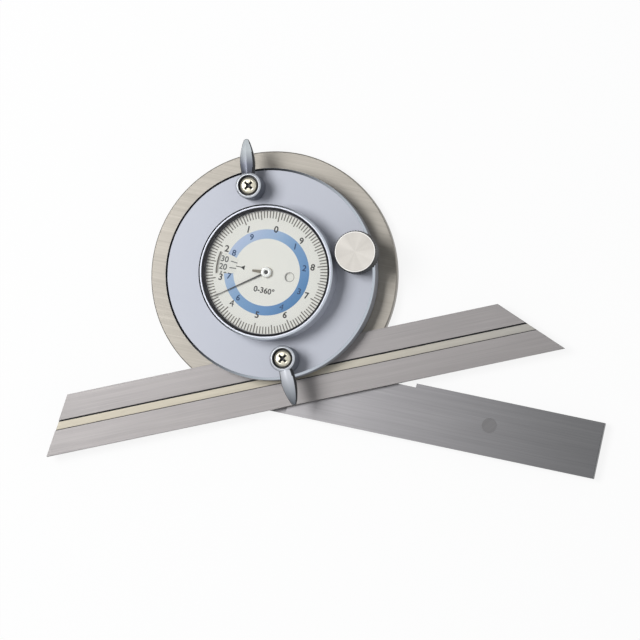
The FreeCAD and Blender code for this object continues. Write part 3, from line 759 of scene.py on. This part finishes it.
# The groove's walls and relief are painted near black as shade.
finishes(blade, blade_steel, (groove_sheen_steel, on_groove_floor), (side_wall_shade, in_groove_shade))
smoothed(blade)
blade.data.transform(Matrix.Rotation(rest_turn, 4, "Z"))
dress(blade, "blade", "blade_steel", blade_steel, "blade")

# %% [markdown]
# ## Housing
# The housing is aluminium: a body ring that turns round the hub, and a cover that carries the
# dial's can. The cover's rim has a cut chamfer, which shows as a dark line at the upper left
# and a pale one at the lower right.

# %% Housing body and cover
housing_bore, cover_foot, cover_radius, cover_top = 4.0, 11.0, 39.7, 13.4
chamfer_foot, chamfer_radius = 12.8, 38.8
can_radius, can_bore, shelf_bore = 24.3, 23.5, 22.4
cover_floor, shelf_top, can_top = 12.2, 19.8, 22.6

dress(from_solid("housing_body", "housing_ring", 0.12), "housing", "housing_anodised",
      housing_blue, "housing_body")
cover_outline = rounded([
    (housing_bore, cover_foot, 0), (cover_radius, cover_foot, 0.1),
    (cover_radius, chamfer_foot, 0.08), (chamfer_radius, cover_top, 0.08),
    (can_radius, cover_top, 0.1), (can_radius, can_top, 0), (can_bore, can_top, 0),
    (can_bore, shelf_top, 0), (shelf_bore, shelf_top, 0), (shelf_bore, cover_floor, 0),
    (housing_bore, cover_floor, 0)], closed=True, steps=3)
cover = turned("housing_cover_turned", cover_outline, True, sides=192)


def on_chamfer(face):
    return radius_of(face) > chamfer_radius - 0.1 and 0.2 < face.normal.z < 0.95


def inside_can(face):
    return radius_of(face) < can_bore + 0.5 and height_of(face) > cover_foot + 1


# The inside of the can is painted grey as shade.
finishes(cover, housing_blue, (can_painted_shade, inside_can), (cut_edge, on_chamfer))
dress(cover, "housing", "housing_anodised", housing_blue, "housing_cover")

# %% [markdown]
# ## Bezel and crystal
# The bezel is a turned ring that holds the glass down on the can. Its outer corner is cut
# bright, and its inner slope is painted black as shade and dark reflection, so the dial seems
# to lie in a dark well.

# %% Bezel and crystal
bezel_radius, bezel_bore, bezel_top, crystal_top = 25.3, 24.31, 24.2, 23.4
cut_radius, crest_radius = 24.72, 24.2
bezel_outline = rounded([
    (bezel_bore, cover_top, 0), (bezel_radius, cover_top, 0.1), (bezel_radius, 23.83, 0.03),
    (cut_radius, bezel_top, 0.03), (crest_radius, bezel_top, 0.08), (23.3, 23.45, 0.02),
    (23.29, crystal_top, 0), (bezel_bore, crystal_top, 0)], closed=True, steps=3)
bezel = turned("bezel_turned", bezel_outline, True, sides=192)


def on_slope(face):
    return radius_of(face) < crest_radius and height_of(face) > crystal_top - 0.1


def on_cut(face):
    return radius_of(face) > cut_radius + 0.02 and 0.3 < face.normal.z < 0.98


# The inner slope is painted black as shade and dark reflection.
finishes(bezel, bezel_alloy, (bezel_slope_shade, on_slope), (cut_edge, on_cut))
dress(bezel, "housing", "bezel_alloy", bezel_alloy, "bezel")

crystal_outline = rounded([(0.5, can_top, 0), (can_radius, can_top, 0.05),
                           (can_radius, crystal_top, 0.05), (0.5, crystal_top, 0)], steps=3)
crystal = turned("crystal_disc", crystal_outline, False)
dress(crystal, "housing", "crystal_glass", glass.material, "crystal")

# %% [markdown]
# ## Dial
# The dial plate is a painted disc with a window at the left, through which the degree disc
# on the housing shows. Print is real ink on the real thing, so here it is a skin a few
# hundredths of a millimetre thick: one mark is modelled and copied round.

# %% Dial plate, and one mark copied round
dial_top, degree_top = 21.0, 20.3
ink_skin = 0.02
dial_zero = 89.4
window_turn = 180.0

dress(from_solid("dial_plate", "dial_plate_painted"), "base", "dial_white", dial_white,
      "dial_plate")
dress(from_solid("degree_disc", "degree_disc_painted"), "housing", "degree_white", degree_white,
      "degree_disc")


def joined(name, pieces):
    """Several pieces made one mesh, with the place of each kept."""
    begin()
    for piece in pieces:
        piece.select_set(True)
    bpy.context.view_layer.objects.active = pieces[0]
    bpy.ops.object.join()
    bpy.context.object.name = name
    return bpy.context.object


def tick(inner, outer, width, foot):
    """A thin bar along +X from one radius to another, in millimetres."""
    begin()
    bpy.ops.mesh.primitive_cube_add(
        size=1.0, location=((inner + outer) / 2 * MM, 0, (foot + ink_skin / 2) * MM))
    bar = bpy.context.object
    bar.scale = ((outer - inner) * MM, width * MM, ink_skin * MM)
    bpy.ops.object.transform_apply()
    return bar


def about_z(degrees):
    return Matrix.Rotation(math.radians(degrees), 4, "Z")


def copies_round(piece, turns, name):
    """Copies of a piece, each with its own mesh, turned round the dial's centre in degrees."""
    made = []
    for turn in turns:
        copy = piece.copy()
        copy.data = piece.data.copy()
        copy.data.transform(about_z(turn))
        bpy.context.scene.collection.objects.link(copy)
        made.append(copy)
    bpy.data.objects.remove(piece)
    return joined(name, made)

# %% [markdown]
# ## Two fine rings
# A grey ring of painted shade lies where the dial meets its wall, and a finer ring of painted
# shade marks the edge of the small hole at the right. Both are turned like the rest.

# %% Rings at the dial's wall and round its small hole
def flat_ring(inner, outer, foot, thick=ink_skin):
    """The outline of a thin flat ring, in millimetres."""
    return [(inner, foot), (outer, foot), (outer, foot + thick), (inner, foot + thick)]


# A thin grey ring of painted shade where the dial meets its wall.
foot_shade_ring = turned("dial_foot_shade_ring", flat_ring(23.0, 23.28, dial_top, 0.05), True, sides=192)
dress(foot_shade_ring, "base", "dial_white", can_painted_shade)
# A thin grey ring of painted shade round the small hole.
peep_ring = turned("peep_edge_ring", flat_ring(1.62, 1.84, dial_top), True, sides=48,
                   centre=(8.8 * MM, 0.0))
dress(peep_ring, "base", "dial_white", peep_edge_shade)

# %% [markdown]
# ## Dial ticks
# There are 120 divisions. Every twelfth tick stands at a figure and is the longest and
# boldest, and those halfway between are a little longer than the rest.

# %% Dial ticks
tick_end = 22.95
tick_rows = [("short_ticks", 20.3, 0.36, [step for step in range(120) if step % 6]),
             ("middle_ticks", 19.7, 0.38, range(6, 120, 12)),
             ("long_ticks", 19.3, 0.4, range(0, 120, 12))]
ticks = joined("dial_ticks", [
    copies_round(tick(start, tick_end, width, dial_top), [dial_zero + 3 * step for step in steps],
                 name) for name, start, width, steps in tick_rows])
dress(ticks, "base", "dial_white", tick_ink)

# %% [markdown]
# ## Numerals
# A text object is made a mesh and then scaled to an exact height, so that all figures of a
# row match. The offset makes the thin font bolder. A figure 4 gets none, because its sharp
# corners would grow spikes.

# %% Numerals
def numeral(text, radius, turn, height, foot):
    """Printed text whose middle stands at a radius and turn, in millimetres and degrees."""
    begin()
    bpy.ops.object.text_add(location=(0, 0, 0))
    word = bpy.context.object
    word.data.body = text
    word.data.size = height * MM
    word.data.align_x = "CENTER"
    word.data.align_y = "CENTER"
    word.data.extrude = ink_skin / 2 * MM
    word.data.offset = 0.0 if "4" in text else height * MM * 0.022
    word.data.resolution_u = 4
    bpy.ops.object.convert(target="MESH")
    word = bpy.context.object
    heights = [corner.co.y for corner in word.data.vertices]
    tall = max(heights) - min(heights)
    for corner in word.data.vertices:
        corner.co.x *= height * MM / tall
        corner.co.y *= height * MM / tall
    way = math.radians(turn)
    place = Matrix.Translation((radius * math.cos(way) * MM, radius * math.sin(way) * MM,
                                (foot + ink_skin / 2) * MM))
    word.data.transform(place @ about_z(dial_upright))
    return word


dial_upright = dial_zero - 90.0
on_band = dial_top + ink_skin
small_text = 2.3
outer = [numeral(str(step), 16.3 if step in (0, 5) else 17.45, dial_zero + 36 * step, 2.5, on_band)
         for step in range(10)]
dress(joined("dial_numerals", outer), "base", "dial_white", number_ink)
inner_steps = {1: 9, 2: 8, 3: 7, 4: 6, 6: 4, 7: 3, 8: 2, 9: 1}
inner = [numeral(str(value), 14.3, dial_zero + 36 * step, small_text, on_band)
         for value, step in inner_steps.items()]
dress(joined("ring_numerals", inner), "base", "dial_white", blue_ink)
label = numeral("0-360°", 6.95, -86.0, small_text, dial_top)
label.name = "dial_range_label"
dress(label, "base", "dial_white", number_ink)

# %% [markdown]
# ## Ring band, window line and index
# The band and the line are parts of flat rings: a whole ring is turned, the faces outside
# its two ends are deleted, and the open ends are filled. The line is a painted shadow along
# the window's outer edge. The index is a bar and a three-sided cylinder.

# %% Ring band, window line and index
def part_ring(name, inner, outer, start, end):
    """A flat thin ring between two turns of the dial, in whole degrees."""
    piece = turned(name, flat_ring(inner, outer, dial_top), True, sides=360)

    def outside(face):
        turn = math.degrees(math.atan2(face.center.y, face.center.x)) % 360
        return not (start < turn < end if start < end else (turn > start or turn < end))

    select_faces(piece, outside)
    bpy.ops.mesh.delete(type="FACE")
    select_all()
    bpy.ops.mesh.fill_holes(sides=4)
    bpy.ops.mesh.normals_make_consistent(inside=False)
    mode("OBJECT")
    return piece


dress(part_ring("ring_band", 12.6, 16.1, 193, 166), "base", "dial_white", band_ink)
# The window line is a painted shadow along the window's outer edge.
dress(part_ring("window_edge_shadow", 18.8, 19.15, 167, 192), "base", "dial_white", tick_ink)

index_line = tick(9.6, 11.8, 0.3, dial_top)
begin()
bpy.ops.mesh.primitive_cylinder_add(
    vertices=3, radius=1.0 * MM, depth=ink_skin * MM, rotation=(0, 0, -math.pi / 2),
    location=(9.0 * MM, 0, (dial_top + ink_skin / 2) * MM))
bpy.ops.object.transform_apply()
index_mark = joined("index_mark", [index_line, bpy.context.object])
dress(copies_round(index_mark, [window_turn], "index_mark"), "base", "dial_white", number_ink)

# %% [markdown]
# ## Degree scale under the window
# The disc turns with the housing and has a mark for every ten degrees. Its figures run up to
# 90 and down again, twice round. The window shows where the blade stands.

# %% Degree scale
shown_setting = math.degrees(rest_turn) + 0.7
degree_turns = {step * 10: window_turn + shown_setting - step * 10 for step in range(36)}
marks = copies_round(tick(11.7, 14.3, 0.34, degree_top), degree_turns.values(), "degree_marks")
dress(marks, "housing", "degree_white", degree_ink)
labels = [numeral(str(min(value % 180, 180 - value % 180)), 16.75, turn, small_text, degree_top)
          for value, turn in degree_turns.items()]
dress(joined("degree_labels", labels), "housing", "degree_white", degree_ink)

# %% [markdown]
# ## Pointer
# A thin black hand on a bright hub, with a short brown tapered mark beside the hub. The
# pointer turns thirty-six times as fast as the housing, once for every ten degrees, so all
# three ride on the pointer's own body. The hand and the mark each start as a tick and are made
# thicker and tapered.

# %% Pointer
hub_outline = rounded([(0.76, 21.3, 0), (2.0, 21.3, 0.05), (2.0, 22.4, 0.35), (0.76, 22.4, 0.1)],
                      closed=True)
pointer_hub = turned("pointer_hub", hub_outline, True, sides=64)
dress(pointer_hub, "pointer", "pointer_black", hub_white, "pointer")


def hand(name, reach, width, tip_share, foot, top, turn):
    """A flat hand from the hub outwards, with its lengths in millimetres."""
    hub_edge = 1.7
    piece = tick(hub_edge, reach, width, foot)
    for corner in piece.data.vertices:
        if corner.co.x > (hub_edge + reach) / 2 * MM:
            corner.co.y *= tip_share
        corner.co.z = (foot if corner.co.z < (foot + ink_skin / 2) * MM else top) * MM
    piece.data.transform(about_z(turn))
    piece.name = name
    return piece


dress(hand("pointer_hand", 21.8, 0.62, 0.28, 21.62, 21.8, 216.0), "pointer", "pointer_black",
      pointer_black)
# A short brown tapered mark beside the hub.
tail = hand("pointer_brown_mark", 5.4, 1.3, 0.6, 21.4, 21.55, 184.0)
use_modifier(tail, "BEVEL", width=0.3 * MM, segments=3, affect="VERTICES")
dress(tail, "pointer", "pointer_black", brown_mark)

# %% [markdown]
# ## Knob
# The fine-setting knob is turned steel with a straight-knurled rim. Its circle has a hundred
# corners, and every other corner of the rim is drawn in towards the axis, which leaves fifty
# teeth. The knurled side is painted dark as shade, and the narrow edge above it gets a painted
# highlight.

# %% Knob
knob_sides = 100
knob_foot, knob_top = 13.7, 24.0
rim_inner, rim_outer = 7.3, 7.58
tooth_depth = 0.052
knob_outline = [(4.0, knob_foot), (4.0, 15.5), (7.6, 15.5), (8.05, 15.9), (8.05, 23.7),
                (7.62, 23.78), (7.52, knob_top), (7.25, knob_top)]
knob = turned("knob_turned", knob_outline, False, sides=knob_sides, centre=knob_centre)
for corner in knob.data.vertices:
    across, along = corner.co.x - knob_centre[0], corner.co.y - knob_centre[1]
    step = round(math.atan2(along, across) / (2 * math.pi / knob_sides))
    if math.hypot(across, along) > 7.9 * MM and step % 2:
        corner.co.x -= across * tooth_depth
        corner.co.y -= along * tooth_depth
smoothed(knob, 20)


def on_teeth(face):
    return radius_of(face, knob_centre) > rim_outer


def on_rim(face):
    return rim_inner < radius_of(face, knob_centre) < rim_outer and face.normal.z > 0.2


# The knurled side is painted dark as shade, and the top edge gets a painted highlight.
finishes(knob, knob_steel, (side_wall_shade, on_teeth), (knob_rim_highlight, on_rim))
dress(knob, "knob", "knob_steel", knob_steel, "knob")

# %% [markdown]
# ## Clamp levers
# Both levers are the same casting: a round hub with a recess for its screw, and a leaf-shaped
# thumb piece. The leaf is drawn out section by section from an eight-sided circle, and one
# crease keeps the ridge along its top while subdivision rounds the rest.

# %% Lever hub and leaf
lever_foot, lever_top = 13.7, 24.5
hub_radius, recess_radius, screw_bore = 4.9, 3.85, 2.02


def lever_hub():
    outline = rounded([
        (screw_bore, lever_foot, 0), (hub_radius, lever_foot, 0.2), (hub_radius, lever_top, 0.9),
        (recess_radius, lever_top, 0.3), (recess_radius, 22.5, 0.1), (1.27, 22.5, 0),
        (1.27, 20.0, 0), (screw_bore, 20.0, 0)], closed=True, steps=5)
    return turned("lever_hub", outline, True, sides=96)


def lever_leaf():
    """Thumb piece along +X, with the hub's axis at the origin."""
    # Each section's distance from the axis, width, height of its ridge, and thickness.
    sections = [(3.95, 4.8, lever_top, 5.4), (5.2, 5.4, 24.4, 5.2), (8.2, 6.0, 24.1, 4.8),
                (11.2, 5.6, 23.5, 4.0), (14.0, 4.3, 22.7, 3.0), (16.2, 2.9, 22.0, 2.2),
                (17.3, 1.9, 21.6, 1.7), (17.68, 1.0, 21.3, 1.0)]
    x, width, crest, height = sections[0]
    middle = crest - height / 2
    begin()
    bpy.ops.mesh.primitive_circle_add(vertices=8, radius=0.5 * MM, fill_type="NGON",
                                      location=(x * MM, 0, middle * MM),
                                      rotation=(0, math.pi / 2, 0))
    leaf = bpy.context.object
    bpy.ops.object.transform_apply()
    for corner in leaf.data.vertices:
        if abs(corner.co.y) > 0.2 * MM:
            corner.co.y = math.copysign(0.48, corner.co.y) * MM
    mode("EDIT")
    bpy.ops.mesh.select_mode(type="FACE")
    select_all()
    bpy.ops.transform.resize(value=(1, width, height), center_override=(x * MM, 0, middle * MM))
    for next_x, next_width, crest, next_height in sections[1:]:
        next_middle = crest - next_height / 2
        draw_out(next_x - x, 0, next_middle - middle)
        bpy.ops.transform.resize(value=(1, next_width / width, next_height / height),
                                 center_override=(next_x * MM, 0, next_middle * MM))
        x, width, middle, height = next_x, next_width, next_middle, next_height
    select_all()
    bpy.ops.mesh.normals_make_consistent(inside=False)
    mode("OBJECT")
    return leaf


def creased(leaf):
    """Keeps the ridge along the top and the square root while the rest is rounded."""
    heights = {}
    for corner in leaf.data.vertices:
        key = round(corner.co.x, 5)
        heights[key] = max(heights.get(key, 0), corner.co.z)
    crease = leaf.data.attributes.new("crease_edge", "FLOAT", "EDGE")
    for edge in leaf.data.edges:
        ends = [leaf.data.vertices[index].co for index in edge.vertices]
        on_ridge = all(abs(end.z - heights[round(end.x, 5)]) < 0.01 * MM for end in ends)
        at_root = all(end.x < 3.96 * MM for end in ends)
        crease.data[edge.index].value = 0.75 if on_ridge else (1.0 if at_root else 0.0)
    use_modifier(leaf, "SUBSURF", levels=3, render_levels=3)
    return leaf


print("lever castings ready")

# %% [markdown]
# ## Lever screws
# A pan-head screw is a turned dome. Its cross recess is cut by two blocks that narrow
# downwards, as the tip of a screwdriver does.

# %% Cross-recess screw
cross_length, cross_width, cross_depth = 4.9, 1.0, 1.8
cross_middle = 23.9


def in_cross(face):
    return radius_of(face) < 2.75 and (face.normal.z < 0.6 or height_of(face) < 23.2)


def cross_screw(name):
    """Pan-head screw on the origin's axis: a turned dome with a cross cut in it."""
    outline = rounded([(1.2, 16.0, 0), (1.2, 22.52, 0), (3.1, 22.52, 0.1), (3.1, 23.45, 0.4),
                       (2.4, 23.85, 0.8), (1.2, 23.95, 0)])
    screw = turned(name, outline + [(0.3, 23.98)], False, sides=64)
    for turn in (0, 90):
        begin()
        bpy.ops.mesh.primitive_cube_add(size=1.0, location=(0, 0, cross_middle * MM))
        cutter = bpy.context.object
        cutter.scale = (cross_length * MM, cross_width * MM, cross_depth * MM)
        bpy.ops.object.transform_apply()
        for corner in cutter.data.vertices:
            if corner.co.z < cross_middle * MM:
                corner.co.x *= 0.45
                corner.co.y *= 0.6
        cutter.data.transform(about_z(turn))
        use_modifier(screw, "BOOLEAN", object=cutter, operation="DIFFERENCE", solver="EXACT")
        bpy.data.objects.remove(cutter)
    # The cross recess is painted near black as shade.
    finishes(screw, bright_screw, (recess_painted_shade, in_cross))
    return smoothed(screw, 30)


print("screw recess", cross_length, "mm across")

# %% [markdown]
# ## Both levers
# Each lever is put together at the origin, turned to where the photograph shows it, and then
# moved to its joint. The side of a leaf that faces the picture's right is painted dark as shade.

# %% Both levers
screw_turn = math.radians(35)
# Leaf faces turned further right than this are painted dark as shade.
facing_right = 0.36


def in_recess(face):
    return radius_of(face) < 3.9 and height_of(face) < 24.15


def on_hub_wall(face):
    return radius_of(face) > 4.5 and face.normal.z < 0.55


def lever(name, body, node, leaf_turn):
    """One lever with its screw, turned and put where its joint is."""
    leaf = smoothed(creased(lever_leaf()), 50)
    leaf_way = about_z(leaf_turn).to_3x3()

    def in_leaf_shade(face):
        facing = (leaf_way @ face.normal).dot(from_camera(1, 0, 0))
        return face.normal.z < 0.7 or facing > facing_right

    # The leaf's steep and right-facing sides are painted dark as shade.
    finishes(leaf, leaf_plate.material, (side_wall_shade, in_leaf_shade))
    hub = lever_hub()
    # The hub's recess is painted near black and its side wall darker, both as shade.
    finishes(hub, lever_chrome, (recess_painted_shade, in_recess), (hub_wall_shade, on_hub_wall))
    whole = joined(name, [hub, leaf])
    centre = Vector([joint["pos_m"] for joint in joints.values() if joint["child"] == body][0])
    centre.z = 0
    whole.data.transform(Matrix.Translation(centre) @ about_z(leaf_turn))
    dress(whole, body, "lever_chrome", lever_chrome, node)
    screw = cross_screw(name + "_screw")
    screw.data.transform(Matrix.Translation(centre)
                         @ Matrix.Rotation(rest_turn + screw_turn, 4, "Z"))
    dress(screw, body, "bright_screw", bright_screw, node + "_screw")


blade_turn = math.degrees(rest_turn)
lever("angle_clamp_lever", "angle_clamp", "angle_lever", blade_turn + 90 - 7)
lever("blade_clamp_lever", "blade_clamp", "blade_lever", blade_turn - 90 + 2)

# %% [markdown]
# ## Finishes for the solids that stay
# Gears, hub, post and the small screws keep their CAD shape and only get their finish.

# %% Carried-over solids
carried = [
    (plug_steel, "arm_plug"), (pointer_black, "pointer_arbor"),
    (dark_screw, "arm_screws hub_screws ring_gear_screws bridge_screws cover_screws "
                 "sun_gear_screws"),
    (hub_steel, "pivot_hub train_arbor knob_shaft angle_lever_stem blade_lever_stem "
                "lever_washers blade_claw"),
    (gear_brass, "ring_gear sun_gear brake_shoe blade_guide_keys"),
    (movement_brass, "train_bridge dial_post train_wheel knob_bush")]
for finish, names in carried:
    for name in names.split():
        mesh = nodes[name].data
        mesh.materials.clear()
        mesh.materials.append(finish)
    print(names, "keep their CAD shape")

# %% [markdown]
# ## Colours as written
# Colours are shown as they are written.

# %% Colours as written
bpy.context.scene.view_settings.view_transform = "Standard"
begin()
